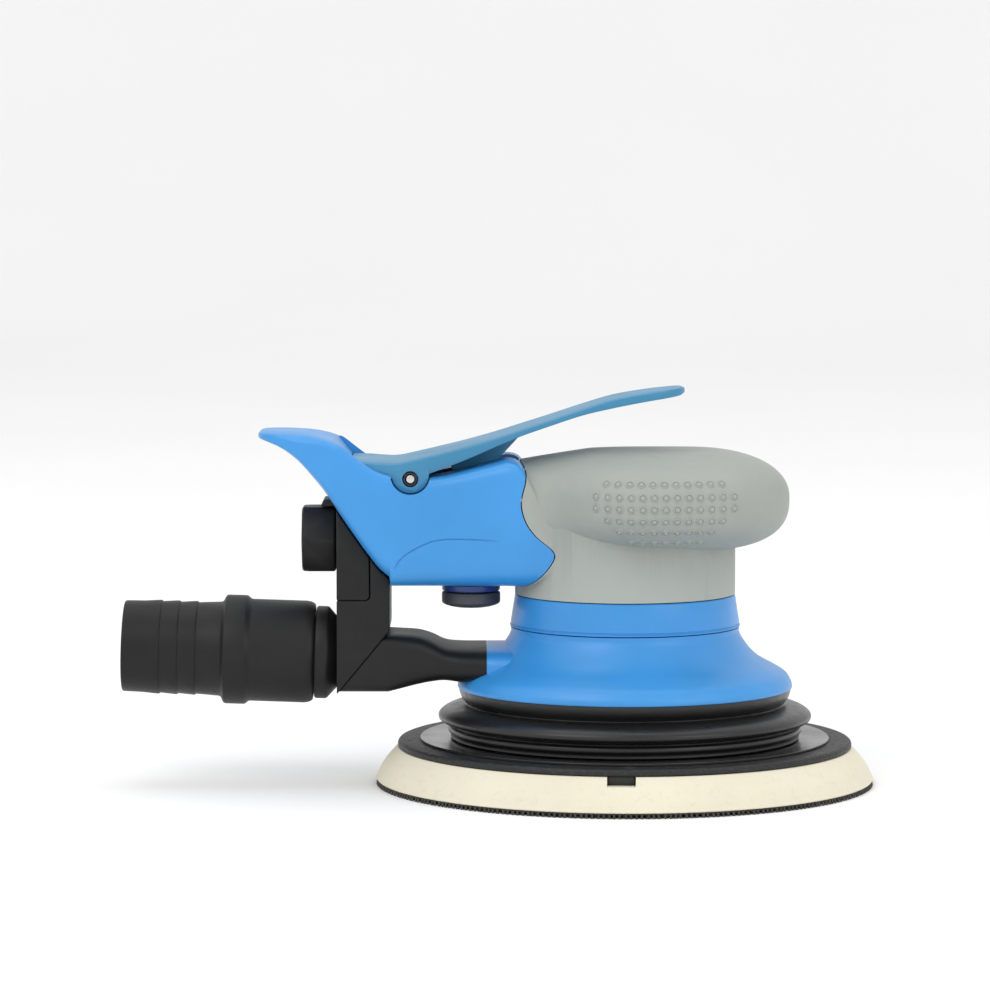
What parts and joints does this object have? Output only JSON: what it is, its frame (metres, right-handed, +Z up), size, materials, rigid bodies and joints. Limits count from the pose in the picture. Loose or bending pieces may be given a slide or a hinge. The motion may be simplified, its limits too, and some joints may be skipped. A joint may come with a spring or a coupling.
{
  "type": "pneumatic random orbital sander",
  "caption": "Palm-held air-driven random orbital sander: lever throttle, rubber grip, round hook-and-loop pad with dust holes, shroud and swivel dust outlet.",
  "frame": {"origin": "on the motor's axis, at the pad's hook face", "axes": "+Z up along the motor's axis, -X along the handle towards the dust outlet, +Y towards the far side"},
  "size_m": [0.2263, 0.15, 0.1199],
  "materials": {
    "blue_composite": "satin bright blue moulded composite",
    "lever_blue": "satin mid-blue powder coat",
    "grip_rubber": "warm light grey soft-touch rubber",
    "black_plastic": "matt black moulded plastic",
    "black_rubber": "black rubber",
    "pad_plate_black": "dark textured fibre-filled plastic",
    "smooth_black": "smooth glossy black ring",
    "cream_foam": "cream moulded foam, fine closed cells",
    "hook_face": "dark moulded hook sheet",
    "steel": "ground bright steel",
    "dark_steel": "dark hardened steel",
    "alloy": "machined aluminium alloy",
    "brass": "turned brass",
    "navy_plastic": "navy moulded plastic",
    "grey_plastic": "dark grey moulded plastic",
    "felt": "pressed felt",
    "vane_composite": "brown reinforced vane composite"
  },
  "bodies": {
    "root": {"housing": "blue_composite", "grip_cover": "grip_rubber", "lever_pin": "steel", "valve_seat": "brass", "valve_bush": "brass", "valve_spring": "steel", "regulator_ring": "navy_plastic", "inlet_bushing": "black_plastic", "inlet_strainer": "brass", "inlet_block": "black_plastic", "exhaust_elbow": "black_plastic", "exhaust_muffler": "felt", "vacuum_duct": "black_plastic", "cuff_clip": "steel", "lock_ring": "blue_composite", "dust_shroud": "blue_composite", "dust_boot": "black_rubber", "motor_cylinder": "dark_steel", "lower_end_plate": "alloy", "upper_end_plate": "alloy", "motor_dowel": "steel", "motor_retainer": "dark_steel", "motor_bearing_lower_outer": "dark_steel", "motor_bearing_upper_outer": "dark_steel"},
    "lever": {"lever": "lever_blue", "lever_bush_front": "black_plastic", "lever_bush_rear": "black_plastic"},
    "plunger": {"valve_plunger": "steel", "valve_disc": "black_rubber"},
    "regulator": {"regulator_knob": "grey_plastic", "regulator_seal": "black_rubber"},
    "hose_cuff": {"hose_cuff": "black_plastic"},
    "crank": {"crank_shaft": "steel", "rotor": "steel", "rotor_key": "dark_steel", "rotor_vane_1": "vane_composite", "rotor_vane_2": "vane_composite", "rotor_vane_3": "vane_composite", "rotor_vane_4": "vane_composite", "rotor_vane_5": "vane_composite", "shaft_circlip": "dark_steel", "motor_bearing_lower_inner": "steel", "motor_bearing_upper_inner": "steel", "spindle_bearing_lower_outer": "dark_steel", "spindle_bearing_upper_outer": "dark_steel", "bearing_circlip": "dark_steel"},
    "pad": {"hook_face": "hook_face", "pad_foam": "cream_foam", "pad_plate": "pad_plate_black", "pad_ring": "smooth_black", "pad_hub": "steel", "hub_rivet_1": "steel", "hub_rivet_2": "steel", "hub_rivet_3": "steel", "spindle": "steel", "spindle_circlip": "dark_steel", "spindle_bearing_lower_inner": "steel", "spindle_bearing_upper_inner": "steel"}
  },
  "joints": [
    {"name": "lever_press", "type": "hinge", "parent": "root", "child": "lever", "pos_m": [-0.0642, 0, 0.0934], "axis": [0, 1, 0], "range_deg": [0, 9], "stiffness_Nm_per_rad": 1, "springref_deg": -14.32},
    {"name": "plunger_slide", "type": "slide", "parent": "root", "child": "plunger", "axis": [0, 0, -1], "range_m": [0, 0.0029], "deforming": ["valve_spring"]},
    {"name": "regulator_turn", "type": "hinge", "parent": "root", "child": "regulator", "pos_m": [-0.0463, 0, 0.0533], "axis": [0, 0, 1], "range_deg": [0, 160]},
    {"name": "cuff_swivel", "type": "hinge", "parent": "root", "child": "hose_cuff", "pos_m": [-0.0863, 0, 0.0396], "axis": [-0.9995, 0, 0.0332], "continuous": true},
    {"name": "motor_spin", "type": "hinge", "parent": "root", "child": "crank", "pos_m": [0, 0, 0.0503], "axis": [0, 0, 1], "continuous": true},
    {"name": "pad_spin", "type": "hinge", "parent": "crank", "child": "pad", "pos_m": [0, 0.0025, 0], "axis": [0, 0, 1], "continuous": true}
  ],
  "couplings": [
    {"joint": "plunger_slide", "follows": "lever_press", "m_per_rad": 0.0179}
  ]
}
